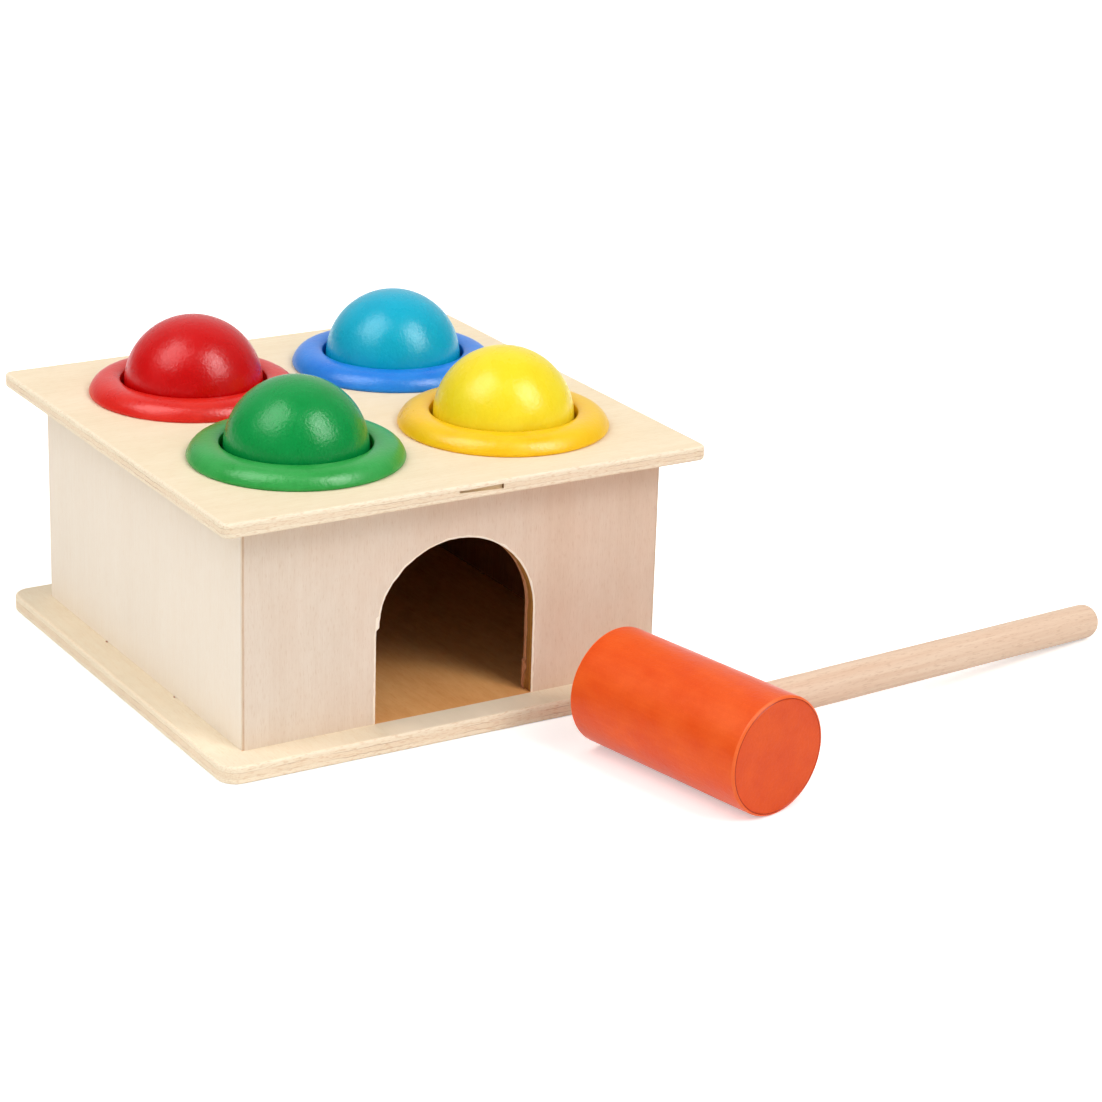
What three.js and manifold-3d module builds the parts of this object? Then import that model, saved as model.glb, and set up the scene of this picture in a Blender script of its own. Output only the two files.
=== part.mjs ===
// Ball pounding bench: a plywood box with four painted balls held in turned rings,
// and a wooden hammer lying on the floor in front of it.
// Millimetres, +Z up. The origin is the centre of the base plate's underside.
// The arched door faces -Y and +X is to the right of someone looking at the door.
import * as THREE from "three";
import { mergeVertices } from "three/addons/utils/BufferGeometryUtils.js";
import Module from "manifold-3d";

const wasm = await Module();
wasm.setup();

// Balls, and the elastic rings that hold them until they are struck
const ballDiameter = 35;
const ballProud = 2.3; // height of a ball's centre above the top plate
const gripThickness = 3; // section of an elastic ring
const gripBite = 0.9; // how much smaller the elastic ring's hole is than the ball, per side
const seatGap = 0.3; // between a ball and the elastic ring under it

// Turned rings set into the top plate
const boreClearance = 0.8; // between a ball and its ring, per side
const grooveClearance = 0.3; // round an elastic ring in its groove
const grooveWall = 1.7; // wood left outside the groove
const spigotLip = 1.8; // wood left under the groove
const spigotClearance = 0.3; // between a spigot and its hole, per side
const flangeWidth = 4.6; // how far the flange reaches past the spigot
const flangeHeight = 4.5; // crest of the flange above the plate
const flangeLipWidth = 2.4; // from the bore out to the crest
const flangeLipDrop = 0.9; // from the crest down to the bore's edge
const flangeRimHeight = 1.3; // where the flange is widest
const flangeFootInset = 0.6; // how far the foot is drawn in under the rim
const ringSpacing = 4.6; // between neighbouring rings

// Plywood box
const baseThickness = 4.4;
const topThickness = 3.6;
const panelThickness = 4;
const spigotWallGap = 2.6; // between a spigot and the panel beside it
const plateOverhang = 8.3; // plates past the panels
const baseCornerRadius = 5;
const topCornerRadius = 2.2;
const plateEdgeRadius = 1.1;
const mitreGap = 0.3; // open joint at each corner of the box

// Arched door in the front panel
const doorClearance = 4.1; // door past a ball, per side
const doorJambHeight = 22; // straight part of the door
const lintelHeight = 12.55; // panel left above the door's crown

// Tabs of the side and back panels, and their mortises in the base
const tabLength = 40.4;
const tabClearance = 0.3;
const tabStop = 0.5; // tab ends this far above the base's underside
const mortiseReliefRadius = 0.6; // round cutter reliefs at the mortise corners

// Gap in the core ply, open at the front edge of the top plate
const coreGapLength = 11.9;
const coreGapHeight = 1;
const coreGapDepth = 3;
const coreGapDrop = 1.2; // face ply above the gap
const coreGapOffset = 1.5; // to the right of the middle

// Hammer
const headDiameter = 29.1;
const headLength = 54.4;
const headEdgeRadius = 0.9;
const handleDiameter = 9;
const handleReach = 147.2; // from the head's axis to the tip of the handle
const handleEndRadius = 3;
const socketFloor = 7; // wood left beyond the socket
const socketClearance = 0.3;
const hammerTurn = THREE.MathUtils.degToRad(11); // handle from +X towards +Y
const hammerAhead = 14.3; // nearest point of the head in front of the plates
const hammerRight = 34.5; // middle of the head to the right of the box's middle

// Cutters
const cutOverrun = 5; // how far a cutter runs past each face

// Facets
const ringSegments = 32;
const ballSegments = 24;
const ballBands = 14;
const gripSegments = 6;
const headSegments = 32;
const handleSegments = 20;
const arcSteps = 4;
const doorSegments = 24;
const cornerSegments = 4;
const edgeSegments = 2;
const reliefSegments = 10;
const weldTolerance = 1e-4;

// Sizes that follow from the ones above
const ballRadius = ballDiameter / 2;
const gripRadius = gripThickness / 2;
const gripCentreRadius = ballRadius - gripBite + gripRadius;
const ballAboveGrip = Math.sqrt((ballRadius + gripRadius + seatGap) ** 2 - gripCentreRadius ** 2);
const gripHeight = ballProud - ballAboveGrip;
const boreRadius = ballRadius + boreClearance;
const grooveRadius = gripCentreRadius + gripRadius + grooveClearance;
const grooveHalf = gripRadius + grooveClearance;
const spigotRadius = grooveRadius + grooveWall;
const spigotBottom = gripHeight - grooveHalf - spigotLip;
const flangeRadius = spigotRadius + flangeWidth;
const holeRadius = spigotRadius + spigotClearance;
const ringPitch = 2 * flangeRadius + ringSpacing;
const boxSide = ringPitch + 2 * (spigotRadius + spigotWallGap + panelThickness);
const plateSide = boxSide + 2 * plateOverhang;
const doorRadius = ballRadius + doorClearance;
const panelHeight = doorJambHeight + doorRadius + lintelHeight;
const topUnderside = baseThickness + panelHeight;
const topFace = topUnderside + topThickness;
const headRadius = headDiameter / 2;
const handleRadius = handleDiameter / 2;
const handleStraight = handleReach - handleEndRadius;
const socketBottom = socketFloor - headRadius;

// The handle slopes until its straight side meets the floor at the tip
const handleDrop =
  Math.asin(headRadius / Math.hypot(handleStraight, handleRadius)) -
  Math.atan2(handleRadius, handleStraight);

// Paint and timber
const finishes = {
  plywood: { color: 0xeedcc0, roughness: 0.62, metalness: 0 },
  plateFace: { color: 0xf6e4c6, roughness: 0.58, metalness: 0 },
  dowel: { color: 0xe6cba8, roughness: 0.6, metalness: 0 },
  headPaint: { color: 0xe8582a, roughness: 0.42, metalness: 0 },
  elastic: { color: 0x2b2826, roughness: 0.8, metalness: 0 },
};
const colours = {
  red: { x: -1, y: 1, ring: 0xe23a30, ball: 0xcf1f22 },
  blue: { x: 1, y: 1, ring: 0x3f7fdc, ball: 0x1fa6cc },
  green: { x: -1, y: -1, ring: 0x4fae62, ball: 0x179a52 },
  yellow: { x: 1, y: -1, ring: 0xfbc634, ball: 0xf4dd34 },
};
const paint = { roughness: 0.36, metalness: 0 };

// Only the positions of a geometry, with shared corners merged
function weld(geometry) {
  const bare = new THREE.BufferGeometry();
  bare.setAttribute("position", geometry.getAttribute("position"));
  bare.setIndex(geometry.getIndex());
  return mergeVertices(bare, weldTolerance);
}

function toSolid(geometry) {
  const welded = weld(geometry);
  const mesh = new wasm.Mesh({
    numProp: 3,
    vertProperties: welded.getAttribute("position").array,
    triVerts: new Uint32Array(welded.getIndex().array),
  });
  return new wasm.Manifold(mesh);
}

function toGeometry(solid) {
  const mesh = solid.getMesh();
  const geometry = new THREE.BufferGeometry();
  geometry.setAttribute("position", new THREE.BufferAttribute(mesh.vertProperties, 3));
  geometry.setIndex(new THREE.BufferAttribute(mesh.triVerts, 1));
  geometry.computeVertexNormals();
  return geometry;
}

function cut(geometry, cutters) {
  const start = toSolid(geometry);
  return toGeometry(cutters.reduce((solid, cutter) => solid.subtract(toSolid(cutter)), start));
}

function piece(name, geometry, finish) {
  const mesh = new THREE.Mesh(geometry, new THREE.MeshStandardMaterial(finish));
  mesh.name = name;
  return mesh;
}

// Points of a quarter ellipse about a centre, from one angle to another
function arc(centreX, centreY, radiusX, radiusY, from, to) {
  return Array.from({ length: arcSteps + 1 }, (_, step) => {
    const angle = from + ((to - from) * step) / arcSteps;
    return new THREE.Vector2(centreX + radiusX * Math.cos(angle), centreY + radiusY * Math.sin(angle));
  });
}

// A round piece or cutter standing on the Z axis
function upright(geometry) {
  return geometry.rotateX(Math.PI / 2);
}

function roundCutter(radius, height, segments) {
  return upright(new THREE.CylinderGeometry(radius, radius, height, segments));
}

// Square plate with round corners and rounded edges, its underside at z = 0
function plateBlank(side, thickness, cornerRadius) {
  const inner = side / 2 - cornerRadius;
  const outline = new THREE.Shape();
  outline.absarc(inner, inner, cornerRadius, 0, Math.PI / 2);
  outline.absarc(-inner, inner, cornerRadius, Math.PI / 2, Math.PI);
  outline.absarc(-inner, -inner, cornerRadius, Math.PI, 1.5 * Math.PI);
  outline.absarc(inner, -inner, cornerRadius, 1.5 * Math.PI, 2 * Math.PI);
  const blank = new THREE.ExtrudeGeometry(outline, {
    depth: thickness - 2 * plateEdgeRadius,
    curveSegments: cornerSegments,
    bevelSize: plateEdgeRadius,
    bevelThickness: plateEdgeRadius,
    bevelOffset: -plateEdgeRadius,
    bevelSegments: edgeSegments,
  });
  return blank.translate(0, 0, plateEdgeRadius);
}

// Panel that stands on the base with its outer face towards +Y, mitred at both ends
function panelBlank() {
  const outerFace = boxSide / 2;
  const innerFace = outerFace - panelThickness;
  const endGap = mitreGap / Math.SQRT2;
  const plan = new THREE.Shape([
    new THREE.Vector2(innerFace - endGap, innerFace),
    new THREE.Vector2(outerFace - endGap, outerFace),
    new THREE.Vector2(endGap - outerFace, outerFace),
    new THREE.Vector2(endGap - innerFace, innerFace),
  ]);
  const blank = new THREE.ExtrudeGeometry(plan, { depth: panelHeight, bevelEnabled: false });
  return blank.translate(0, 0, baseThickness);
}

// Block under the middle of a panel, grown all round by a clearance
function tabBlock(height, bottom, grow) {
  const block = new THREE.BoxGeometry(tabLength + 2 * grow, panelThickness + 2 * grow, height);
  return block.translate(0, (boxSide - panelThickness) / 2, bottom + height / 2);
}

function tabbedPanel() {
  const reach = baseThickness - tabStop;
  const lap = panelThickness / 2;
  return toGeometry(toSolid(panelBlank()).add(toSolid(tabBlock(reach + lap, tabStop, 0))));
}

// Mortise for a tab, with a round relief at each corner
function mortiseCutters() {
  const height = baseThickness + 2 * cutOverrun;
  const cutters = [tabBlock(height, -cutOverrun, tabClearance)];
  for (const side of [-1, 1]) {
    for (const face of [-1, 1]) {
      const relief = roundCutter(mortiseReliefRadius, height, reliefSegments);
      const y = (boxSide - panelThickness + face * panelThickness) / 2;
      cutters.push(relief.translate((side * tabLength) / 2, y, baseThickness / 2));
    }
  }
  return cutters;
}

// Arched door, cut through the front panel along Y
function doorCutter() {
  const outline = new THREE.Shape();
  outline.moveTo(-doorRadius, -cutOverrun);
  outline.lineTo(doorRadius, -cutOverrun);
  outline.lineTo(doorRadius, doorJambHeight);
  outline.absarc(0, doorJambHeight, doorRadius, 0, Math.PI);
  const depth = panelThickness + 2 * cutOverrun;
  const cutter = new THREE.ExtrudeGeometry(outline, {
    depth,
    curveSegments: doorSegments,
    bevelEnabled: false,
  });
  return upright(cutter).translate(0, (depth + panelThickness - boxSide) / 2, baseThickness);
}

// Turned ring: flange on the plate, spigot below it, groove for the elastic ring in the bore
function ringGeometry() {
  const crest = boreRadius + flangeLipWidth;
  const grooveTop = gripHeight + grooveHalf;
  const grooveFloor = gripHeight - grooveHalf;
  const profile = [
    new THREE.Vector2(boreRadius, spigotBottom),
    new THREE.Vector2(spigotRadius, spigotBottom),
    new THREE.Vector2(spigotRadius, 0),
    new THREE.Vector2(flangeRadius - flangeFootInset, 0),
    ...arc(crest, flangeRimHeight, flangeRadius - crest, flangeHeight - flangeRimHeight, 0, Math.PI / 2),
    ...arc(crest, flangeHeight - flangeLipDrop, flangeLipWidth, flangeLipDrop, Math.PI / 2, Math.PI).slice(1),
    new THREE.Vector2(boreRadius, grooveTop),
    new THREE.Vector2(grooveRadius, grooveTop),
    new THREE.Vector2(grooveRadius, grooveFloor),
    new THREE.Vector2(boreRadius, grooveFloor),
    new THREE.Vector2(boreRadius, spigotBottom),
  ];
  return upright(new THREE.LatheGeometry(profile, ringSegments));
}

function gripGeometry() {
  const profile = Array.from({ length: gripSegments + 1 }, (_, step) => {
    const angle = ((step % gripSegments) * 2 * Math.PI) / gripSegments;
    return new THREE.Vector2(gripCentreRadius + gripRadius * Math.cos(angle), gripRadius * Math.sin(angle));
  });
  return upright(new THREE.LatheGeometry(profile, ringSegments));
}

// Head along Y, with a facet edge on the floor and a blind socket for the handle along +X
function headGeometry() {
  const flat = headRadius - headEdgeRadius;
  const shoulder = headLength / 2 - headEdgeRadius;
  const profile = [
    new THREE.Vector2(0, -headLength / 2),
    ...arc(flat, -shoulder, headEdgeRadius, headEdgeRadius, -Math.PI / 2, 0),
    ...arc(flat, shoulder, headEdgeRadius, headEdgeRadius, 0, Math.PI / 2),
    new THREE.Vector2(0, headLength / 2),
  ];
  const turned = new THREE.LatheGeometry(profile, headSegments, -handleDrop);
  const socketRadius = handleRadius + socketClearance;
  const socket = new THREE.CylinderGeometry(socketRadius, socketRadius, headDiameter, handleSegments);
  socket.rotateZ(-Math.PI / 2).translate(socketBottom + headRadius, 0, 0);
  return cut(turned, [socket]);
}

// Dowel along X from the bottom of the socket to its rounded tip
function handleGeometry() {
  const start = socketBottom + socketClearance;
  const flat = handleRadius - handleEndRadius;
  const profile = [
    new THREE.Vector2(0, start),
    new THREE.Vector2(handleRadius, start),
    ...arc(flat, handleStraight, handleEndRadius, handleEndRadius, 0, Math.PI / 2),
    new THREE.Vector2(0, handleReach),
  ];
  return new THREE.LatheGeometry(profile, handleSegments).rotateZ(-Math.PI / 2);
}

// Box
const tabbedSides = { back_panel: 0, left_panel: Math.PI / 2, right_panel: -Math.PI / 2 };
const bench = new THREE.Group();

const mortises = Object.values(tabbedSides).flatMap((turn) =>
  mortiseCutters().map((cutter) => cutter.rotateZ(turn)),
);
const baseGeometry = cut(plateBlank(plateSide, baseThickness, baseCornerRadius), mortises);
bench.add(piece("base_plate", baseGeometry, finishes.plateFace));

for (const [name, turn] of Object.entries(tabbedSides)) {
  const panel = piece(name, tabbedPanel(), finishes.plywood);
  panel.rotation.z = turn;
  bench.add(panel);
}
bench.add(piece("front_panel", cut(panelBlank().rotateZ(Math.PI), [doorCutter()]), finishes.plywood));

// Top plate, with a hole under each ring
const holes = Object.values(colours).map(({ x, y }) => {
  const hole = roundCutter(holeRadius, topThickness + 2 * cutOverrun, ringSegments);
  return hole.translate((x * ringPitch) / 2, (y * ringPitch) / 2, topThickness / 2);
});
const coreGap = new THREE.BoxGeometry(coreGapLength, 2 * coreGapDepth, coreGapHeight);
coreGap.translate(coreGapOffset, -plateSide / 2, topThickness - coreGapDrop - coreGapHeight / 2);
const topGeometry = cut(plateBlank(plateSide, topThickness, topCornerRadius), [...holes, coreGap]);
const topPlate = piece("top_plate", topGeometry, finishes.plateFace);
topPlate.position.z = topUnderside;
bench.add(topPlate);

// Rings, elastic rings and balls
for (const [colour, { x, y, ring, ball }] of Object.entries(colours)) {
  const station = new THREE.Group();
  station.position.set((x * ringPitch) / 2, (y * ringPitch) / 2, topFace);
  station.add(piece("ring_" + colour, ringGeometry(), { color: ring, ...paint }));

  const grip = piece("grip_ring_" + colour, gripGeometry(), finishes.elastic);
  grip.position.z = gripHeight;
  station.add(grip);

  const sphere = upright(new THREE.SphereGeometry(ballRadius, ballSegments, ballBands));
  const ballPiece = piece("ball_" + colour, sphere, { color: ball, ...paint });
  ballPiece.position.z = ballProud;
  station.add(ballPiece);
  bench.add(station);
}

// Hammer, lying on its head with the tip of the handle on the floor
const hammer = new THREE.Group();
const headReach = (headLength / 2) * Math.cos(hammerTurn) + headRadius * Math.sin(hammerTurn);
hammer.position.set(hammerRight, -(plateSide / 2 + hammerAhead + headReach), headRadius);
hammer.rotation.set(0, handleDrop, hammerTurn, "ZYX");
hammer.add(piece("hammer_head", headGeometry(), finishes.headPaint));
hammer.add(piece("hammer_handle", handleGeometry(), finishes.dowel));
bench.add(hammer);

export default bench;
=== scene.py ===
# %% [markdown]
# # Dressing a ball pounding bench
# A pounding bench is a small plywood box. Four painted balls sit in turned rings on its top, a child
# strikes them with a wooden hammer until they drop through, and they roll out of the arched door.
# The solids of all its pieces come from a CAD model, at their real size and in their real places.
# This lesson puts a finer mesh in the place of each solid and gives it a finish made of shader nodes.
# Nothing is moved or resized on the way: each mesh reads its size from the solid that it stands for.

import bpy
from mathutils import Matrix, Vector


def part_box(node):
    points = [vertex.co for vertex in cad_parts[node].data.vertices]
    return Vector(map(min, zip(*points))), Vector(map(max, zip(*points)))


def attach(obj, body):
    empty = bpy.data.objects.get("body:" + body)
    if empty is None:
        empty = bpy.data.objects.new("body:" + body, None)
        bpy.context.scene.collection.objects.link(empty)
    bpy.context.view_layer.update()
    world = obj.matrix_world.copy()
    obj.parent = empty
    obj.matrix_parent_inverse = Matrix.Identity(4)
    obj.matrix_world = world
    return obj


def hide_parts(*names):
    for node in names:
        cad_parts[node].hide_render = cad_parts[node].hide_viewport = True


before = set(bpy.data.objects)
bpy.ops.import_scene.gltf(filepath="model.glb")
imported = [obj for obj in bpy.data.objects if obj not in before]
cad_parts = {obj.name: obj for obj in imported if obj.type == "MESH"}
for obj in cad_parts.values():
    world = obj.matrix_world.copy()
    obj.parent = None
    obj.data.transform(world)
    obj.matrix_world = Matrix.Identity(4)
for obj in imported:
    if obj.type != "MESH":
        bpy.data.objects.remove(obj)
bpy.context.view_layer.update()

# %% [markdown]
# Blender measures in metres, and a toy this small is easier to think about in millimetres. One factor,
# `MM`, turns every size below into metres. `points_of` reads the corners of a solid, so that a
# measurement such as a bore or a length can be taken from the solid instead of being typed again.

# %% Units and measuring
import math

import bmesh
import bpy
import numpy as np
from mathutils import Matrix, Vector, noise

MM = 0.001
LEVEL = 0.01 * MM  # points closer than this in height count as level


def points_of(solid):
    return np.array([vertex.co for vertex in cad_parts[solid].data.vertices])


def middle(solid):
    low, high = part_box(solid)
    return (low + high) / 2


def radii_of(solid):
    return np.hypot(*(points_of(solid)[:, :2] - np.array(middle(solid))[:2]).T)


plate_low, plate_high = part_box("top_plate")
base_low, base_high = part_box("base_plate")
wall_low, wall_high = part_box("front_panel")
box_half = -wall_low.y
wall_thickness = wall_high.y - wall_low.y
floor_height = base_high.z
roof_height = plate_low.z
top_height = plate_high.z
print("plates %.1f mm wide, box %.1f mm" % ((plate_high.x - plate_low.x) / MM, 2 * box_half / MM))

# %% [markdown]
# ## Camera
# The picture that this scene follows was taken with a long lens from the front left, a little above the
# box. A camera can be placed by hand, by tracking an empty, or by writing its axes. Writing the axes is
# the clearest here, because the view was measured as an azimuth, an elevation, a small roll and a slide.

# %% Camera
VIEW_AZIMUTH = math.radians(-31.83)
VIEW_ELEVATION = math.radians(20.12)
VIEW_ROLL = math.radians(1.88)
VIEW_DISTANCE = 801.0 * MM
SLIDE_RIGHT = 51.7 * MM
SLIDE_UP = -12.1 * MM
VIEW_LENS = 103.8  # millimetres of focal length on a sensor 36 mm wide
NEAREST = 10 * MM
AIM = Vector((0, 0, 39 * MM))


def place_in_scene(name, data):
    placed = bpy.data.objects.new(name, data)
    bpy.context.scene.collection.objects.link(placed)
    return placed


level = math.cos(VIEW_ELEVATION)
back = Vector((math.sin(VIEW_AZIMUTH) * level, -math.cos(VIEW_AZIMUTH) * level, math.sin(VIEW_ELEVATION)))
level_right = Vector((math.cos(VIEW_AZIMUTH), math.sin(VIEW_AZIMUTH), 0))
level_up = back.cross(level_right)
right = math.cos(VIEW_ROLL) * level_right + math.sin(VIEW_ROLL) * level_up
up = math.cos(VIEW_ROLL) * level_up - math.sin(VIEW_ROLL) * level_right
eye = AIM + VIEW_DISTANCE * back + SLIDE_RIGHT * right + SLIDE_UP * up

camera_data = bpy.data.cameras.new("picture_camera")
camera_data.lens = VIEW_LENS
camera_data.clip_start = NEAREST
camera = place_in_scene("picture_camera", camera_data)
camera.matrix_world = Matrix.Translation(eye) @ Matrix((right, up, back)).transposed().to_4x4()
bpy.context.scene.camera = camera
bpy.context.scene.view_settings.view_transform = "Standard"
print("camera at", [round(c / MM, 1) for c in eye], "mm")

# %% [markdown]
# ## Node helpers
# Every finish below is a small graph of shader nodes. Making a node, setting its inputs and linking it
# takes several lines each time, so one helper does it: inputs are named by keyword, and a value that is
# itself a socket is linked instead of being set. The other helpers wrap the nodes that recur.

# %% Node helpers
MIX_SOCKETS = {"FLOAT": ((0, 2, 3), 0), "RGBA": ((0, 6, 7), 2)}  # a Mix node's inputs and output, by kind


def node(tree, kind, settings=None, **inputs):
    made = tree.nodes.new("ShaderNode" + kind)
    for key, value in (settings or {}).items():
        setattr(made, key, value)
    for key, value in inputs.items():
        feed(tree, made.inputs[key.replace("_", " ")], value)
    return made


def feed(tree, socket, value):
    if isinstance(value, bpy.types.NodeSocket):
        tree.links.new(value, socket)
    else:
        socket.default_value = value


def calc(tree, operation, first, second=0.0):
    made = node(tree, "Math", {"operation": operation})
    feed(tree, made.inputs[0], first)
    feed(tree, made.inputs[1], second)
    return made.outputs[0]


def mix(tree, share, first, second, way="MIX", kind="RGBA"):
    made = node(tree, "Mix", {"data_type": kind, "blend_type": way})
    inputs, output = MIX_SOCKETS[kind]
    for index, value in zip(inputs, (share, first, second)):
        feed(tree, made.inputs[index], value)
    return made.outputs[output]


def rescale(tree, value, span_from, span_to):
    made = node(tree, "MapRange", Value=value)
    for name, limit in zip(("From Min", "From Max", "To Min", "To Max"), (*span_from, *span_to)):
        made.inputs[name].default_value = limit
    return made.outputs["Result"]


print("helpers for nodes: node, feed, calc, mix, rescale")

# %% [markdown]
# Colours are easiest to write as a screen shows them, with red, green and blue from 0 to 255. Blender counts
# in linear light, so `srgb` takes each of the three back along the standard curve of screens, which is a
# straight line near black and a power above it.

# %% Colours
def srgb(red, green, blue):
    def linear(channel):
        share = channel / 255
        return share / 12.92 if share <= 0.04045 else ((share + 0.055) / 1.055) ** 2.4

    return (linear(red), linear(green), linear(blue), 1.0)


print("mid grey as a linear value: %.3f" % srgb(128, 128, 128)[0])

# %% [markdown]
# ## Studio
# The toy stands on a white sweep under soft light: a tall softbox on the left, half way up, another in front
# on the right with a bare bright spot in it, and a very large, weak fill low on the left. The balls show two
# broad highlights, which two large panels and the bare spot make. A lamp can be kept out of the reflections,
# as the softboxes are, or be seen in the reflections alone, as the panels are, so the light and the
# highlights can be set apart. Each lamp is placed by the direction in which it is seen from the toy, and its
# power is worked out from the light that a facing surface would get, so it can change its size and keep its
# effect.

# %% Softboxes
LAMP_DISTANCE = 4.0  # metres, far enough to light the floor evenly round the toy


def softbox(name, towards, width, height, light, mirrored=True, lighting=True):
    towards = Vector(towards).normalized()
    data = bpy.data.lights.new(name, "AREA")
    data.shape = "RECTANGLE"
    data.size = width
    data.size_y = height
    data.energy = light * (math.pi * LAMP_DISTANCE) ** 2
    lamp = place_in_scene(name, data)
    facing = towards.to_track_quat("Z", "Y").to_matrix().to_4x4()
    lamp.matrix_world = Matrix.Translation(AIM + LAMP_DISTANCE * towards) @ facing
    lamp.visible_camera = False
    lamp.visible_glossy = mirrored
    lamp.visible_diffuse = lighting
    print(name, "%.0f W" % data.energy)


softbox("left_softbox", towards=(-0.60, 0.12, 0.79), width=1.5, height=2.7, light=0.385, mirrored=False)
softbox("front_softbox", towards=(0.22, -0.62, 0.75), width=1.4, height=2.6, light=0.405, mirrored=False)
softbox("low_fill", towards=(-0.93, -0.15, 0.33), width=3.2, height=3.2, light=0.05, mirrored=False)
softbox("bare_spot", towards=(0.31, -0.64, 0.70), width=0.5, height=0.6, light=0.08)
softbox("left_reflector", towards=(-0.56, 0.0, 0.83), width=2.5, height=2.9, light=0.90, lighting=False)
softbox("front_reflector", towards=(0.33, -0.66, 0.68), width=2.0, height=2.8, light=1.00, lighting=False)

# %% [markdown]
# The sky gives less light than the white that the camera sees in it. Light Path tells the rays apart: a ray
# from the camera, or one through something clear, sees white. A ray that a glossy surface mirrors sees white
# where the sweep rises behind the toy and a dim room on the other sides, which keeps the paints deep. Every
# other ray sees the level that lights the toy.

# %% Sky
SKY_LEVEL = 0.46
ROOM_LEVEL = 0.06
SWEEP_SIDE = (0.42, 0.72, 0.55)  # the way from the toy to the middle of the sweep
SWEEP_EDGE = (0.4, 1.0)  # from the room's last grey to full white, as a cosine to that way


def sky_strength(tree):
    rays = node(tree, "LightPath").outputs
    direction = node(tree, "TexCoord").outputs["Generated"]
    towards_sweep = node(tree, "VectorMath", {"operation": "DOT_PRODUCT"})
    feed(tree, towards_sweep.inputs[0], direction)
    feed(tree, towards_sweep.inputs[1], SWEEP_SIDE)
    mirrored = rescale(tree, towards_sweep.outputs["Value"], SWEEP_EDGE, (ROOM_LEVEL, 1.0))
    strength = mix(tree, rays["Is Glossy Ray"], SKY_LEVEL, mirrored, kind="FLOAT")
    straight = calc(tree, "MAXIMUM", rays["Is Camera Ray"], rays["Is Transmission Ray"])
    return mix(tree, straight, strength, 1.0, kind="FLOAT")


world = bpy.data.worlds.new("even_sky")
world.use_nodes = True
sky = world.node_tree
sky.nodes.clear()
sky_light = node(sky, "Background", Color=(1, 1, 1, 1), Strength=sky_strength(sky))
sky.links.new(sky_light.outputs[0], node(sky, "OutputWorld").inputs["Surface"])
bpy.context.scene.world = world
print("sky level", SKY_LEVEL)

# %% [markdown]
# The floor has to look white and still hold the soft shadows. A very bright floor would do that, but its
# bounce would also bleach the toy. So the floor that the camera sees is a pale sheet with some light of
# its own. Together they are a little more than white in the open, so the thin outer part of a shadow burns
# out and its deep part stays, as on a bright table. Every other ray meets an ordinary pale floor.

# %% Floor finish
FLOOR_ALBEDO = 0.86
FLOOR_SEEN_ALBEDO = 0.95
FLOOR_GLOW = 0.42


def grey(value):
    return (value, value, value, 1.0)


def seen_share(tree):
    rays = node(tree, "LightPath").outputs
    share = calc(tree, "MAXIMUM", rays["Is Camera Ray"], rays["Is Glossy Ray"])
    return calc(tree, "MAXIMUM", share, rays["Is Transmission Ray"])


def choose(tree, share, unseen, seen):
    chosen = node(tree, "MixShader", Fac=share)
    tree.links.new(unseen.outputs[0], chosen.inputs[1])
    tree.links.new(seen.outputs[0], chosen.inputs[2])
    return chosen.outputs[0]


def white_floor():
    material = bpy.data.materials.new("white_sweep")
    material.use_nodes = True
    tree = material.node_tree
    tree.nodes.clear()
    plain = node(tree, "BsdfDiffuse", Color=grey(FLOOR_ALBEDO))
    shaded = node(tree, "BsdfDiffuse", Color=grey(FLOOR_SEEN_ALBEDO))
    glow = node(tree, "Emission", Color=grey(1.0), Strength=FLOOR_GLOW)
    white = node(tree, "AddShader")
    tree.links.new(shaded.outputs[0], white.inputs[0])
    tree.links.new(glow.outputs[0], white.inputs[1])
    surface = choose(tree, seen_share(tree), plain, white)
    tree.links.new(surface, node(tree, "OutputMaterial").inputs["Surface"])
    return material


print("floor reflects %.2f of the light" % FLOOR_ALBEDO)

# %% [markdown]
# The floor itself is one square face.

# %% Floor
FLOOR_SIDE = 8.0  # metres
FLOOR_DROP = 0.05 * MM  # just under the pieces, so that no two faces share a plane

floor_mesh = bpy.data.meshes.new("floor")
half_floor = FLOOR_SIDE / 2
floor_signs = ((-1, -1), (1, -1), (1, 1), (-1, 1))
floor_corners = [(x * half_floor, y * half_floor, -FLOOR_DROP) for x, y in floor_signs]
floor_mesh.from_pydata(floor_corners, [], [(0, 1, 2, 3)])
floor_mesh.materials.append(white_floor())
floor = place_in_scene("floor", floor_mesh)
print("floor %.0f m square" % FLOOR_SIDE)

# %% [markdown]
# ## Wood and paint
# All wood here has fibres, which are noise drawn out along one direction. `fibres` makes that noise: its
# two sizes are the length and the width of a fibre in millimetres, and `grain` turns it from X to where the
# wood grew. It is read in the piece's own coordinates, so the grain stays on the piece when it moves.
# `spread` stretches the noise to a wanted range, and `relief` turns any such pattern into a fine bump.

# %% Fibres and relief
ALONG_X = (0, 0, 0)
ALONG_Y = (0, 0, math.pi / 2)
ALONG_Z = (0, math.pi / 2, 0)
NOISE_SPAN = (0.3, 0.7)  # nearly all values of a noise texture lie between these


def fibres(tree, grain, length, width, seed, detail=3.0):
    place = node(tree, "TexCoord").outputs["Object"]
    start = (seed * MM, -2 * seed * MM, 3 * seed * MM)  # each seed reads another part of the noise
    size = (length * MM, width * MM, width * MM)
    drawn = node(tree, "Mapping", {"vector_type": "TEXTURE"}, Vector=place, Location=start, Rotation=grain,
                 Scale=size)
    return node(tree, "TexNoise", Vector=drawn.outputs["Vector"], Scale=1.0, Detail=detail).outputs["Fac"]


def spread(tree, pattern, low, high):
    return rescale(tree, pattern, NOISE_SPAN, (low, high))


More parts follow.
